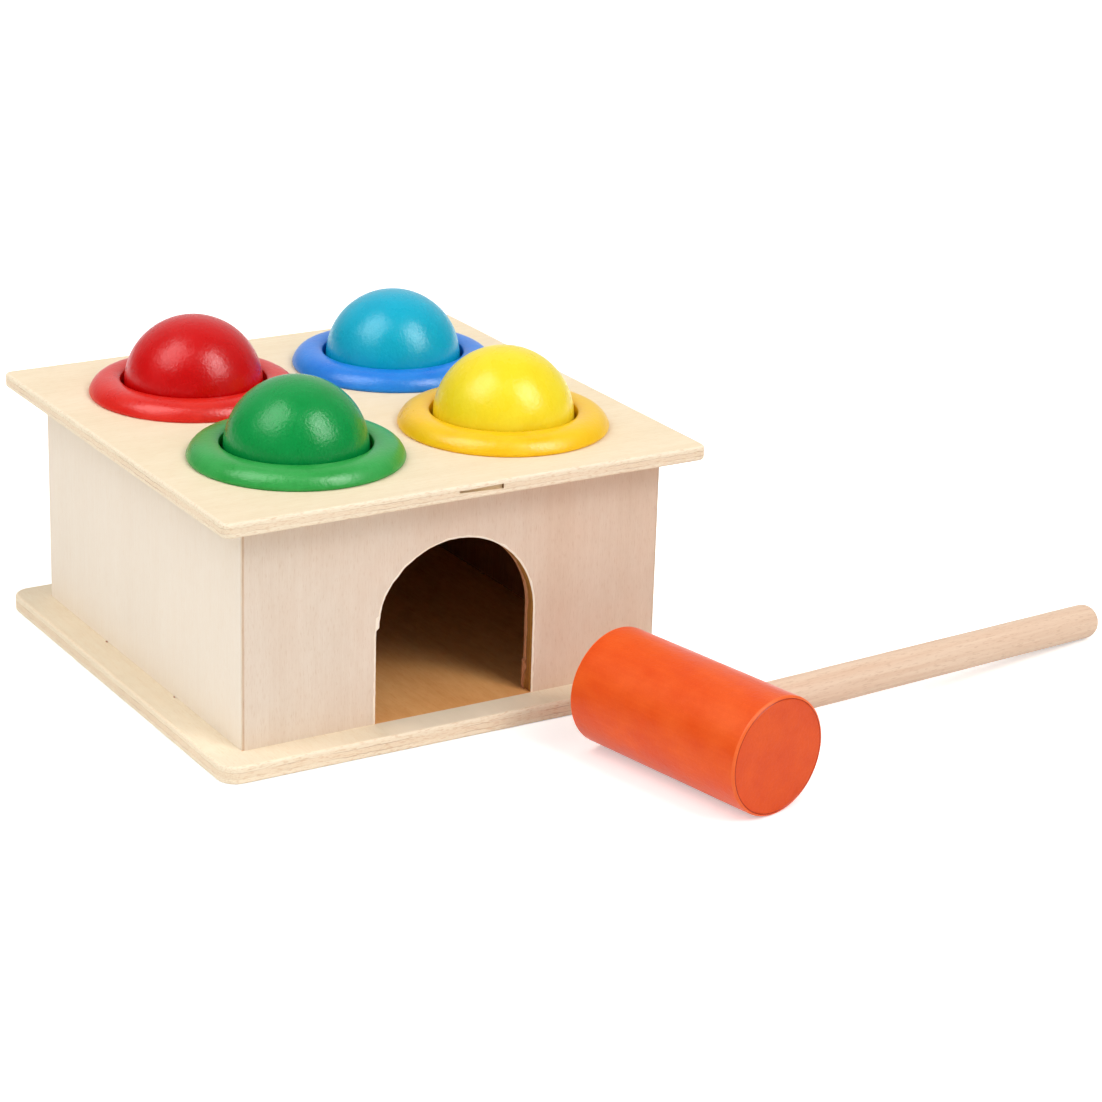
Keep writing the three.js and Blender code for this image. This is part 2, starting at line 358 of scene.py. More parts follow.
def relief(tree, shader, height, depth, strength):
    bump = node(tree, "Bump", Height=height, Distance=depth * MM, Strength=strength)
    tree.links.new(bump.outputs["Normal"], shader.inputs["Normal"])


def start_finish(name, specular):
    material = bpy.data.materials.new(name)
    material.use_nodes = True
    shader = material.node_tree.nodes["Principled BSDF"]
    shader.inputs["Specular IOR Level"].default_value = specular
    return material, material.node_tree, shader


print("grain can run along X, Y, Z or any turned direction")

# %% [markdown]
# A sanded veneer is pale and almost even. Four patterns together make it wood: broad soft bands where the
# growth rings were peeled, cloudy patches, long fibres, and short dark pores. Each is weak on its own. The
# roughness follows the fibres, because sanding leaves the hard late wood a little smoother.

# %% Veneer
VENEER_SPECULAR = 0.2
VENEER_ROUGHNESS = (0.52, 0.68)
GROWTH_SHARE = 0.4  # of the darker tone
FIBRE_SHARE = 0.6  # divided between the patches and the long fibres
PORE_STAIN = (0.55, 0.75)  # from the edge of a pore to its middle
PORE_PIT = (0.58, 0.75)
PIT_DEPTH = 0.5  # beside the fibres' own relief


def veneer(name, pale, deep, grain, seed, contrast=1.0, mottle=0.3, pore=0.3):
    material, tree, shader = start_finish(name, VENEER_SPECULAR)
    growth = fibres(tree, grain, length=150, width=12, seed=seed, detail=2.0)
    patches = fibres(tree, grain, length=5, width=2.2, seed=seed + 3)
    long_fibres = fibres(tree, grain, length=20, width=0.5, seed=seed + 5, detail=4.0)
    pores = fibres(tree, grain, length=2.0, width=0.3, seed=seed + 9, detail=2.0)
    tone = spread(tree, growth, 0, GROWTH_SHARE)
    tone = calc(tree, "ADD", tone, spread(tree, patches, 0, mottle))
    tone = calc(tree, "ADD", tone, spread(tree, long_fibres, 0, FIBRE_SHARE - mottle))
    ground = mix(tree, calc(tree, "MULTIPLY", tone, contrast), pale, deep)
    stain = rescale(tree, pores, PORE_STAIN, (0, pore * contrast))
    tree.links.new(mix(tree, stain, ground, deep, "MULTIPLY"), shader.inputs["Base Color"])
    tree.links.new(spread(tree, long_fibres, *VENEER_ROUGHNESS), shader.inputs["Roughness"])
    height = calc(tree, "SUBTRACT", long_fibres, rescale(tree, pores, PORE_PIT, (0, PIT_DEPTH)))
    relief(tree, shader, height, depth=0.04, strength=0.3)
    return material


top_veneer = veneer("top_veneer", srgb(250, 233, 204), srgb(240, 219, 185), ALONG_X, seed=1.0)
side_veneer = veneer("side_veneer", srgb(248, 236, 219), srgb(241, 225, 205), ALONG_Z, seed=4.0, contrast=0.6)
# painted shade: the inside faces of the box, walls, top and floor, are drawn darker and warmer than outside
shaded_inner_veneer = veneer("shaded_inner_veneer", srgb(176, 116, 68), srgb(146, 90, 50), ALONG_Z, seed=5.0)
shaded_inner_floor = veneer("shaded_inner_floor", srgb(253, 191, 122), srgb(235, 164, 96), ALONG_Y, seed=6.0, mottle=0.4)
arris = veneer("arris", srgb(255, 246, 230), srgb(253, 236, 212), ALONG_Z, seed=14.0)
# painted shade: the soft brown for the mitre at each corner of the box
mitre_shade_line = veneer("mitre_shade_line", srgb(224, 198, 172), srgb(210, 180, 152), ALONG_Z, seed=15.0)
print("veneers: top, side, raw wall, raw floor, arris, glue line")

# %% [markdown]
# Two sheets change their colour from place to place. The front one grows warmer and rosier towards the
# right, which is painted light: it stands for the orange light that the hammer head throws back onto the
# wall. It starts as a plain veneer, and `tint` then lays a third colour over it by a share between 0 and 1,
# which a soft cloud of noise makes uneven. The painted tint multiplies the veneer, as a stain does, so the
# grain still shows through it.

# %% Front veneer
CLOUD_SHARE = (-0.15, 0.2)  # how far the cloud takes from a share or adds to it
BOUNCE_TINT_SPAN = (-0.7 * box_half, 0.5 * box_half)  # from its first trace to its full strength
BOUNCE_TINT_SHARE = 0.75


def tint(material, share, colour, cloud, way="MIX"):
    tree = material.node_tree
    shader = tree.nodes["Principled BSDF"]
    plain = shader.inputs["Base Color"].links[0].from_socket
    uneven = calc(tree, "ADD", share, spread(tree, cloud, *CLOUD_SHARE))
    soft_share = rescale(tree, uneven, (0, 1), (0, 1))
    tree.links.new(mix(tree, soft_share, plain, colour, way), shader.inputs["Base Color"])


def across(tree, axis):
    place = node(tree, "TexCoord").outputs["Object"]
    return node(tree, "SeparateXYZ", Vector=place).outputs[axis]


# painted light: the warm tint towards the right stands for orange light bounced from the hammer head
def bounce_tinted_veneer(name, pale, deep, bounce_tint, seed):
    material = veneer(name, pale, deep, ALONG_Z, seed, pore=0.4)
    tree = material.node_tree
    share = rescale(tree, across(tree, "X"), BOUNCE_TINT_SPAN, (0, BOUNCE_TINT_SHARE))
    cloud = fibres(tree, ALONG_Z, length=30, width=14, seed=seed + 20)
    tint(material, share, bounce_tint, cloud, "MULTIPLY")
    return material


# the front wall, with its painted bounce light on the right
front_veneer = bounce_tinted_veneer("front_veneer", srgb(238, 224, 207), srgb(228, 209, 189),
                               bounce_tint=srgb(253, 240, 232), seed=3.0)
print("front veneer blushes over %.0f mm" % ((BOUNCE_TINT_SPAN[1] - BOUNCE_TINT_SPAN[0]) / MM))

# %% [markdown]
# The other sheet is the base. It is painted paler in front of the door, as painted light that lifts the
# shade which the box and the top's overhang leave on the ledge there. The pale patch is as wide as the door,
# fades at its sides and ends in the doorway. The width of the door is read from the foot of the front wall,
# whose innermost points are the door's jambs.

# %% Base veneer
LIGHT_PATCH_EDGE = (0.8, 1.1)  # where the painted light thins out, as a share of the door's half width
LIGHT_PATCH_SHARE = (0.9, -0.3)  # inside and outside of that edge


# painted light: the base is drawn paler in front of the door to lift the shade on the ledge there
def light_patched_veneer(name, pale, deep, painted_light, half_width, seed):
    material = veneer(name, pale, deep, ALONG_Y, seed, mottle=0.4)
    tree = material.node_tree
    sideways = calc(tree, "ABSOLUTE", across(tree, "X"))
    path_edge = [half_width * share for share in LIGHT_PATCH_EDGE]
    in_path = rescale(tree, sideways, path_edge, LIGHT_PATCH_SHARE)
    in_front = rescale(tree, across(tree, "Y"), (-box_half, wall_thickness - box_half), (1, 0))
    share = calc(tree, "MULTIPLY", in_path, in_front)
    tint(material, share, painted_light, fibres(tree, ALONG_Y, length=9, width=4, seed=seed + 20))
    return material


front_points = points_of("front_panel")
front_foot = front_points[front_points[:, 2] < floor_height + LEVEL]
door_radius = np.abs(front_foot[:, 0]).min()
base_veneer = light_patched_veneer("base_veneer", srgb(243, 230, 205), srgb(235, 216, 187),
                          painted_light=srgb(255, 238, 212), half_width=door_radius, seed=2.0)
print("base veneer is worn over %.1f mm" % (2 * door_radius / MM))

# %% [markdown]
# The edge of plywood shows its layers. The two face plies are pale, the core is a little darker and cut
# across its fibres, so it is covered in short dashes, and a brown glue line lies between each two plies.
# The layers could be separate sheets of mesh, but on a rounded edge they flow into each other, so they
# are drawn by how far through the sheet a point lies, from 0 at its low face to 1 at its high one. A slow
# noise lets the glue line fade and come back.

# %% Plywood layers
GLUE_WAVER = 0.16 * MM
GLUE_FADE = (0.40, 0.62)  # noise where the glue line is gone, and where it is whole
DASH_SPAN = (0.5, 0.72)  # noise from the edge of a dash to its middle
DASH_SHARE = 0.7
EDGE_ROUGHNESS = 0.7


def layer_ramp(tree, through, marks):
    ramp = node(tree, "ValToRGB", Fac=through)
    elements = ramp.color_ramp.elements
    while len(elements) < len(marks):
        elements.new(0.5)  # it gets its own position below
    for element, (position, colour) in zip(elements, marks):
        element.position = position
        element.color = colour
    return ramp.outputs["Color"]


def ply_edge(name, axis, low, high, seed, first, core, last, glue, dash):
    material, tree, shader = start_finish(name, VENEER_SPECULAR)
    shader.inputs["Roughness"].default_value = EDGE_ROUGHNESS
    height = across(tree, axis)
    waver = spread(tree, fibres(tree, ALONG_X, length=4, width=4, seed=seed + 7), -GLUE_WAVER, GLUE_WAVER)
    through = rescale(tree, calc(tree, "ADD", height, waver), (low, high), (0, 1))
    # A mark is a place through the sheet and the colour there. The core lies between 0.36 and 0.64.
    plain_marks = [(0.30, first), (0.36, core), (0.64, core), (0.70, last)]
    glued_marks = [(0.31, first), (0.33, glue), (0.36, core), (0.64, core), (0.67, glue), (0.69, last)]
    plain = layer_ramp(tree, through, plain_marks)
    glued = layer_ramp(tree, through, glued_marks)
    wander = fibres(tree, ALONG_X, length=14, width=14, seed=seed, detail=2.0)
    striped = mix(tree, rescale(tree, wander, GLUE_FADE, (0, 1)), plain, glued)
    dashes = fibres(tree, ALONG_Z if axis == "Y" else ALONG_X, length=1.5, width=0.3, seed=seed + 3)
    colour = mix(tree, rescale(tree, dashes, DASH_SPAN, (0, DASH_SHARE)), striped, dash)
    tree.links.new(colour, shader.inputs["Base Color"])
    relief(tree, shader, dashes, depth=0.1, strength=0.4)
    return material


print("glue lines waver by %.2f mm" % (GLUE_WAVER / MM))

# %% [markdown]
# The edges of the two plates were sanded, so their plies are as pale as the faces. The edges of the walls
# are drawn brown, with a rosy last ply. They show in the door.

# %% Plywood edges
SANDED_PLIES = {
    "first": srgb(251, 235, 208),
    "core": srgb(247, 227, 198),
    "last": srgb(251, 235, 208),
    "glue": srgb(190, 154, 118),
    "dash": srgb(224, 188, 148),
}
SAWN_PLIES = {
    "first": srgb(196, 138, 68),
    "core": srgb(178, 122, 58),
    "last": srgb(222, 156, 116),
    "glue": srgb(96, 58, 30),
    "dash": srgb(142, 94, 48),
}
top_edge = ply_edge("top_edge", "Z", plate_low.z, plate_high.z, seed=11.0, **SANDED_PLIES)
base_edge = ply_edge("base_edge", "Z", base_low.z, base_high.z, seed=12.0, **SANDED_PLIES)
wall_edge = ply_edge("wall_edge", "Y", wall_low.y, wall_high.y, seed=13.0, **SAWN_PLIES)
print("edges: top, base, wall")

# %% [markdown]
# The balls, rings and hammer head are dipped in a satin paint. It is not a flat colour: the coat is
# thicker in some places, the wood shows through as faint fibres, and dust and orange peel break up the
# highlights into specks. The colour varies by a few parts in a hundred and the bump is a few hundredths
# of a millimetre deep, which only shows where a lamp is mirrored.

# %% Paint
COAT_SHARE, WOOD_SHARE, SPECK_SHARE = 0.6, 0.2, 0.3  # of the thin coat's colour
WOOD_SPAN = (0.4, 0.75)
SPECK_SPAN = (0.5, 0.75)
WAVE_HEIGHT, PEEL_HEIGHT, SPECK_HEIGHT = 2.0, 1.6, 0.4  # shares of the relief


def paint(name, thick, thin, grain, seed, gloss, specular):
    material, tree, shader = start_finish(name, specular)
    coat = fibres(tree, grain, length=9, width=7, seed=seed)
    wood = fibres(tree, grain, length=12, width=0.7, seed=seed + 4)
    waves = fibres(tree, grain, length=2.4, width=2.0, seed=seed + 5, detail=1.0)
    peel = fibres(tree, grain, length=0.7, width=0.6, seed=seed + 6, detail=1.0)
    specks = fibres(tree, grain, length=0.35, width=0.3, seed=seed + 8, detail=2.0)
    tone = spread(tree, coat, 0, COAT_SHARE)
    tone = calc(tree, "ADD", tone, rescale(tree, wood, WOOD_SPAN, (0, WOOD_SHARE)))
    tone = calc(tree, "ADD", tone, rescale(tree, specks, SPECK_SPAN, (0, SPECK_SHARE)))
    tree.links.new(mix(tree, tone, thick, thin), shader.inputs["Base Color"])
    tree.links.new(spread(tree, coat, *gloss), shader.inputs["Roughness"])
    height = calc(tree, "MULTIPLY", waves, WAVE_HEIGHT)
    height = calc(tree, "ADD", height, calc(tree, "MULTIPLY", peel, PEEL_HEIGHT))
    height = calc(tree, "ADD", height, calc(tree, "MULTIPLY", specks, SPECK_HEIGHT))
    relief(tree, shader, height, depth=0.05, strength=0.7)
    return material


print("relief of waves, peel and specks: %.1f, %.1f, %.1f" % (WAVE_HEIGHT, PEEL_HEIGHT, SPECK_HEIGHT))

# %% [markdown]
# Rings and balls come in the same four colours, but from different pots: the blue ring is deeper than its
# ball, the yellow one is warmer, and the coats of all rings have a little less gloss. A coat is darkest
# where it is thick, so each paint has two colours.

# %% Paint colours
BALL_SPECULAR = 0.25
RING_SPECULAR = 0.32
BALL_GLOSS = (0.24, 0.31)  # roughness where the coat is thick and where it is thin
RING_GLOSS = (0.27, 0.36)


def paint_set(kind, coats, first_seed, gloss, specular):
    paints = {}
    for index, (colour, (thick, thin)) in enumerate(coats.items()):
        paints[colour] = paint(kind + colour, thick, thin, ALONG_Z, first_seed + index, gloss, specular)
    return paints


RING_COATS = {  # the colour of a thick and of a thin coat
    "red": (srgb(216, 24, 14), srgb(229, 44, 28)),
    "blue": (srgb(16, 118, 222), srgb(40, 140, 232)),
    "green": (srgb(36, 154, 62), srgb(58, 170, 82)),
    "yellow": (srgb(248, 192, 2), srgb(250, 205, 20)),
}
BALL_COATS = {
    "red": (srgb(200, 0, 1), srgb(211, 6, 8)),
    "blue": (srgb(2, 168, 200), srgb(14, 181, 212)),
    "green": (srgb(0, 142, 61), srgb(8, 154, 74)),
    "yellow": (srgb(246, 218, 24), srgb(249, 229, 50)),
}
COLOURS = tuple(RING_COATS)
ring_paints = paint_set("ring_paint_", RING_COATS, 21.0, RING_GLOSS, RING_SPECULAR)
ball_paints = paint_set("ball_paint_", BALL_COATS, 31.0, BALL_GLOSS, BALL_SPECULAR)
print("paints:", len(ring_paints) + len(ball_paints))

# %% [markdown]
# ## Making pieces
# A piece starts as a list of points and faces. `make_piece` turns it into an object, joins points that
# coincide and turns all faces outwards. `carve` cuts other shapes out of a piece with Boolean modifiers and
# keeps the result, and the cut faces take the finish of the cutter.

# %% Piece helpers
SAME_POINT = 0.0001 * MM  # points closer than this are one


def make_piece(name, points, faces, finishes, finish_of=None):
    mesh = bpy.data.meshes.new(name)
    mesh.from_pydata([tuple(point) for point in points], [], faces)
    for finish in finishes:
        mesh.materials.append(finish)
    if finish_of is not None:
        mesh.polygons.foreach_set("material_index", finish_of)
    shape = bmesh.new()
    shape.from_mesh(mesh)
    bmesh.ops.remove_doubles(shape, verts=shape.verts, dist=SAME_POINT)
    bmesh.ops.recalc_face_normals(shape, faces=shape.faces)
    shape.to_mesh(mesh)
    shape.free()
    return place_in_scene(name, mesh)


def carve(piece, cutters):
    for cutter in cutters:
        cut = piece.modifiers.new(cutter.name, "BOOLEAN")
        cut.object = cutter
        cut.operation = "DIFFERENCE"
        cut.solver = "EXACT"
        cut.material_mode = "TRANSFER"
    depsgraph = bpy.context.evaluated_depsgraph_get()
    carved = bpy.data.meshes.new_from_object(piece.evaluated_get(depsgraph))
    piece.modifiers.clear()
    piece.data = carved
    for cutter in cutters:
        bpy.data.objects.remove(cutter)


print("points closer than %.4f mm are joined" % (SAME_POINT / MM))

# %% [markdown]
# `smooth` shades a piece round everywhere but at true corners. The Weighted Normal modifier keeps the large
# flat faces flat, so that a rounded edge doesn't bend the light on them. `dress` then hangs the piece on the
# body that carries it and hides the solid that it stands for.

# %% Dressing helpers
def smooth(piece, corner=35):  # degrees
    piece.data.shade_smooth()
    piece.data.set_sharp_from_angle(angle=math.radians(corner))
    even = piece.modifiers.new("even_flats", "WEIGHTED_NORMAL")
    even.keep_sharp = True


def dress(piece, body, solid):
    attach(piece, body)
    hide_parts(solid)
    size = piece.dimensions / MM
    print("%s: %.1f x %.1f x %.1f mm, %d faces" % (piece.name, *size, len(piece.data.polygons)))


print("helpers for pieces: make_piece, carve, smooth, dress")

# %% [markdown]
# Three small shape helpers serve all pieces. `arc` gives points on an ellipse, `bands` joins a stack of
# closed outlines with quads, and `prisms` makes upright cutters from flat outlines.

# %% Shape helpers
OVERRUN = 1.0 * MM  # how far a cutter runs past the face it cuts


def arc(centre, radii, start, stop, steps):
    angles = np.radians(np.linspace(start, stop, steps + 1))
    return [(centre[0] + radii[0] * math.cos(a), centre[1] + radii[1] * math.sin(a)) for a in angles]


def bands(count, rows):
    quads = []
    for row in range(rows - 1):
        below, above = row * count, (row + 1) * count
        for step in range(count):
            after = (step + 1) % count
            quads.append((below + step, below + after, above + after, above + step))
    return quads


def prisms(name, outlines, low, high, finish):
    points, faces = [], []
    for outline in outlines:
        first, count = len(points), len(outline)
        points += [(x, y, z) for z in (low, high) for x, y in outline]
        sides = bands(count, 2) + [tuple(range(count)), tuple(range(count, 2 * count))]
        faces += [tuple(first + corner for corner in face) for face in sides]
    return make_piece(name, points, faces, [finish])


print("quarter circle:", [(round(x, 2), round(y, 2)) for x, y in arc((0, 0), (1, 1), 0, 90, 2)])

# %% [markdown]
# ## Plates
# The base and the top are squares of three-ply with round corners and sanded edges. A cube with a Bevel
# modifier would give the shape, but not the layers. So the edge is built as a stack of outlines: each is
# the same rounded square, drawn in a little, and the stack follows the round edge and dips into a fine
# groove at each glue line. A slow wobble of a few hundredths of a millimetre keeps the edge from looking
# machined.

# %% Plate outline
PLATE_ROUND = 0.65 * MM
EDGE_WOBBLE = 0.08 * MM
WOBBLE_LENGTH = 9 * MM
GLUE_GROOVE = 0.06 * MM
CORNER_STEPS = 10
SIDE_STEPS = 40
ROUND_STEPS = 6


def plate_outline(half, corner, height, seed):
    centre = half - corner
    outline = []
    for turn in range(4):
        facing = Matrix.Rotation(turn * math.pi / 2, 2)
        rounded = arc((centre, centre), (corner, corner), 0, 90, CORNER_STEPS)
        run = [(centre - 2 * centre * step / SIDE_STEPS, half) for step in range(1, SIDE_STEPS)]
        outline += [facing @ Vector(point) for point in rounded + run]
    points = []
    for x, y in outline:
        wobble = noise.noise(Vector((x, y, height)) / WOBBLE_LENGTH + Vector((seed, 0, 0)))
        shrink = 1 - EDGE_WOBBLE * (1 + wobble) / half
        points.append((x * shrink, y * shrink, height))
    return points


def edge_profile(low, high):
    bottom = arc((PLATE_ROUND, low + PLATE_ROUND), (PLATE_ROUND, PLATE_ROUND), 270, 180, ROUND_STEPS)
    grooves = []
    for share in (1 / 3, 2 / 3):
        line = low + share * (high - low)
        grooves += [(0, line - GLUE_GROOVE), (GLUE_GROOVE, line), (0, line + GLUE_GROOVE)]
    rim = arc((PLATE_ROUND, high - PLATE_ROUND), (PLATE_ROUND, PLATE_ROUND), 180, 90, ROUND_STEPS)
    return bottom + grooves + rim


print("edge profile:", len(edge_profile(plate_low.z, plate_high.z)), "points")

# %% [markdown]
# Each flat face is a band from the last outline to a square as large as the box, and that square is filled
# apart, because the face towards the inside of the box is painted darker and warmer, as painted shade for
# the inside of the box. The square's outline is the plate's own outline, held back to the box, so the two
# have the same number of points. The corner radius is read from the solid: it is where the straight
# edge ends.

# %% Plate blank
FACE, EDGE, SHADED_INSIDE = range(3)  # the order of a plate's finishes


def plate_blank(name, solid, finishes, shaded_side_up, seed):
    low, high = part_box(solid)
    half = high.x
    corners = points_of(solid)
    straight_end = corners[corners[:, 1] > half - LEVEL][:, 0].max()
    corner = half - straight_end
    profile = edge_profile(low.z, high.z)
    loops = [plate_outline(half - inset, corner - inset, height, seed) for inset, height in profile]

    def held_back(loop):
        return [(max(-box_half, min(box_half, x)), max(-box_half, min(box_half, y)), z) for x, y, z in loop]

    loops = [held_back(loops[0]), *loops, held_back(loops[-1])]
    count = len(loops[0])
    points = [point for loop in loops for point in loop]
    faces = bands(count, len(loops))
    finish_of = [FACE] * count + [EDGE] * (len(faces) - 2 * count) + [FACE] * count
    faces += [tuple(range(count)), tuple(range(len(points) - count, len(points)))]
    finish_of += [FACE, SHADED_INSIDE] if shaded_side_up else [SHADED_INSIDE, FACE]
    print(name, "corner radius %.1f mm" % (corner / MM))
    return make_piece(name, points, faces, finishes, finish_of)


print("raw faces are %.1f mm square" % (2 * box_half / MM))

# %% [markdown]
# The base has three mortises, into which tabs of the side and back walls are glued. A round cutter can't
# make a square inner corner, so each mortise has small round reliefs at its corners. Two of them peep out
# as dark dots at the foot of the side wall. The outline of a mortise is four arcs, one round each corner.
# The tab's size is read from the part of a side wall that lies below the box floor.

# %% Base plate
RELIEF_RADIUS = 0.6 * MM
RELIEF_STEPS = 14
TABBED_SIDES = {"back_panel": math.pi, "left_panel": -math.pi / 2, "right_panel": math.pi / 2}

side_points = points_of("left_panel")
tab_points = side_points[side_points[:, 2] < floor_height - LEVEL]
tab_half = np.abs(tab_points[:, 1]).max()
tab_stop = tab_points[:, 2].min()


def mortise(turn):
    facing = Matrix.Rotation(turn, 2)
    outer, inner = -box_half, wall_thickness - box_half
    slot_corners = [(tab_half, inner), (-tab_half, inner), (-tab_half, outer), (tab_half, outer)]
    outline = []
    for index, corner in enumerate(slot_corners):
        start = 90 * index - 90
        outline += arc(corner, (RELIEF_RADIUS, RELIEF_RADIUS), start, start + 270, RELIEF_STEPS)
    return [facing @ Vector(point) for point in outline]


base_finishes = [base_veneer, base_edge, shaded_inner_floor]
base = plate_blank("plywood_base", "base_plate", base_finishes, shaded_side_up=True, seed=1.7)
mortises = [mortise(turn) for turn in TABBED_SIDES.values()]
carve(base, [prisms("mortises", mortises, base_low.z - OVERRUN, base_high.z + OVERRUN, wall_edge)])
smooth(base)
dress(base, "bench", "base_plate")

# %% [markdown]
# The top has a hole under each ring and one flaw of real plywood: the strips of its core don't quite meet,
# which leaves a flat gap that shows on the front edge. The gap is a mere line at its left end and opens like
# a wedge to the right. Its roof and its right end are painted dark brown, as painted shade inside the gap.

# %% Top plate
HOLE_FIT = 0.1 * MM
HOLE_STEPS = 96
GAP_LEFT, GAP_RIGHT = -4.5 * MM, 7.4 * MM
GAP_LEFT_SPAN = (1.2 * MM, 1.7 * MM)  # roof and floor of the gap, below the top face
GAP_RIGHT_SPAN = (1.0 * MM, 2.2 * MM)
GAP_DEPTH = 0.9 * MM

gap_wood = veneer("gap_wood", srgb(246, 222, 182), srgb(230, 198, 152), ALONG_X, seed=16.0)
# painted shade: the dark brown for the roof and the right end of the core gap
painted_shade_strip = veneer("painted_shade_strip", srgb(164, 124, 80), srgb(136, 98, 58), ALONG_X, seed=17.0)
ring_points = points_of("ring_red")
foot_of_ring = ring_points[:, 2] < ring_points[:, 2].min() + LEVEL
spigot_radius = radii_of("ring_red")[foot_of_ring].max()


# the roof and the right end of the gap take the painted shade
def core_gap():
    left_roof, left_floor = GAP_LEFT_SPAN
    right_roof, right_floor = GAP_RIGHT_SPAN
    mouth = [(GAP_LEFT, left_floor), (GAP_RIGHT, right_floor), (GAP_RIGHT, right_roof), (GAP_LEFT, left_roof)]
    reach = (plate_low.y - OVERRUN, plate_low.y + GAP_DEPTH)
    points = [(x, y, top_height - drop) for y in reach for x, drop in mouth]
    faces = bands(4, 2) + [(0, 1, 2, 3), (4, 5, 6, 7)]
    pale, dark = 0, 1
    finish_of = [pale, dark, dark, pale, pale, pale]  # floor, right end, roof, left end, mouth, back
    return make_piece("core_gap", points, faces, [gap_wood, painted_shade_strip], finish_of)


def ring_hole(colour):
    centre = middle("ring_" + colour)
    radius = spigot_radius + HOLE_FIT
    return arc((centre.x, centre.y), (radius, radius), 0, 360 - 360 / HOLE_STEPS, HOLE_STEPS - 1)


top_finishes = [top_veneer, top_edge, shaded_inner_veneer]
top = plate_blank("plywood_top", "top_plate", top_finishes, shaded_side_up=False, seed=4.1)
holes = [ring_hole(colour) for colour in COLOURS]
carve(top, [prisms("holes", holes, plate_low.z - OVERRUN, plate_high.z + OVERRUN, wall_edge), core_gap()])
smooth(top)
dress(top, "bench", "top_plate")

# %% [markdown]
# ## Walls
# Four sheets make the box, mitred at its corners. Each is drawn facing the viewer, with its outer face
# towards -Y, and then turned into place as an object, so the grain and the layers follow the sheet's own
# axes. A sheet is a stack of three outlines from the outer face to the inner one. The second is where the
# sanded arris ends, and the last is shorter by the thickness, which makes the mitre.

# %% Wall blank
MITRE_GAP = 0.02 * MM
PALE_ARRIS = (0.5 * MM, 0.3 * MM)  # width on the face, depth into the sheet
# the narrower arris of the front and back walls is painted soft brown, as painted shade in the mitre
SHADED_ARRIS = (0.6 * MM, 0.15 * MM)
OUTER, INNER, SAWN, CORNER = range(4)  # the order of a wall's finishes


# the inner face of each wall takes the darker veneer, painted shade for the inside of the box
def wall_blank(name, foot, face_finish, glued):
    arris_width, arris_depth = SHADED_ARRIS if glued else PALE_ARRIS
    corner_finish = mitre_shade_line if glued else arris
    # An x of -1 or 1 marks an end of the sheet, which lies elsewhere in each outline of the stack.
    outline = [(-1, floor_height), *foot, (1, floor_height), (1, roof_height), (-1, roof_height)]
    mitre = box_half - MITRE_GAP
    stack = [(0, mitre - arris_width), (arris_depth, mitre - arris_depth)]
    stack.append((wall_thickness, mitre - wall_thickness))
    points = []
    for depth, end in stack:
        points += [(x * end if abs(x) == 1 else x, depth - box_half, z) for x, z in outline]
    count = len(outline)
    faces = bands(count, len(stack)) + [tuple(range(count)), tuple(range(2 * count, 3 * count))]
    finish_of = [CORNER] * count + [SAWN] * count + [OUTER, INNER]
    return make_piece(name, points, faces, [face_finish, shaded_inner_veneer, wall_edge, corner_finish], finish_of)


tab_foot = [(-tab_half, floor_height), (-tab_half, tab_stop), (tab_half, tab_stop), (tab_half, floor_height)]
print("walls are %.1f mm high" % ((roof_height - floor_height) / MM))

# %% [markdown]
# The side walls have a pale sanded arris. The front and back walls end in an arris painted a soft brown, as
# painted shade in the mitre, so a soft brown line stands beside the pale one at each corner of the box.

# %% Side and back walls
for side, turn in TABBED_SIDES.items():
    glued = side == "back_panel"
    wall = wall_blank(side.replace("panel", "wall"), tab_foot, side_veneer, glued)
    smooth(wall, corner=10)
    wall.rotation_euler.z = turn
    dress(wall, "bench", side)

# %% [markdown]
# The door was sawn out, and its rim shows it: a thin pale edge where the face veneer was sanded, small teeth
# on the left haunch, a splinter just above the spring of the arch, and torn layers low on the right. The
# cutter is built in slices through the thickness. Each slice is the same arch, pushed in or out a little, so
# that the layers step. The size of the arch is read from the solid.

# %% Door outline
JAMB_STEPS = 40
ARCH_STEPS = 110
NEAR_MIDDLE = 0.1  # of the door's radius

at_middle = np.abs(front_points[:, 0]) < NEAR_MIDDLE * door_radius
crown_height = front_points[at_middle][:, 2].min()
spring_height = crown_height - door_radius


def door_line():
    heights = np.linspace(floor_height - OVERRUN, spring_height, JAMB_STEPS)
    left = [((-door_radius, z), (-1, 0)) for z in heights]
    crown = []
    for angle in np.radians(np.linspace(180, 0, ARCH_STEPS + 1)[1:-1]):
        out = (math.cos(angle), math.sin(angle))
        crown.append(((door_radius * out[0], spring_height + door_radius * out[1]), out))
    return left + crown + [((door_radius, z), (1, 0)) for z in heights[::-1]]


print("door radius %.2f mm, spring at %.2f mm" % (door_radius / MM, spring_height / MM))

# %% [markdown]
# Three functions say how far the saw strayed. `rim_width` is the width of the pale edge on the face, with a
# chip at the splinter. `rim_push` moves the whole rim: fine roughness everywhere, teeth and the splinter on
# the left. `tear` is how far the torn back ply juts out on the right, near the floor.

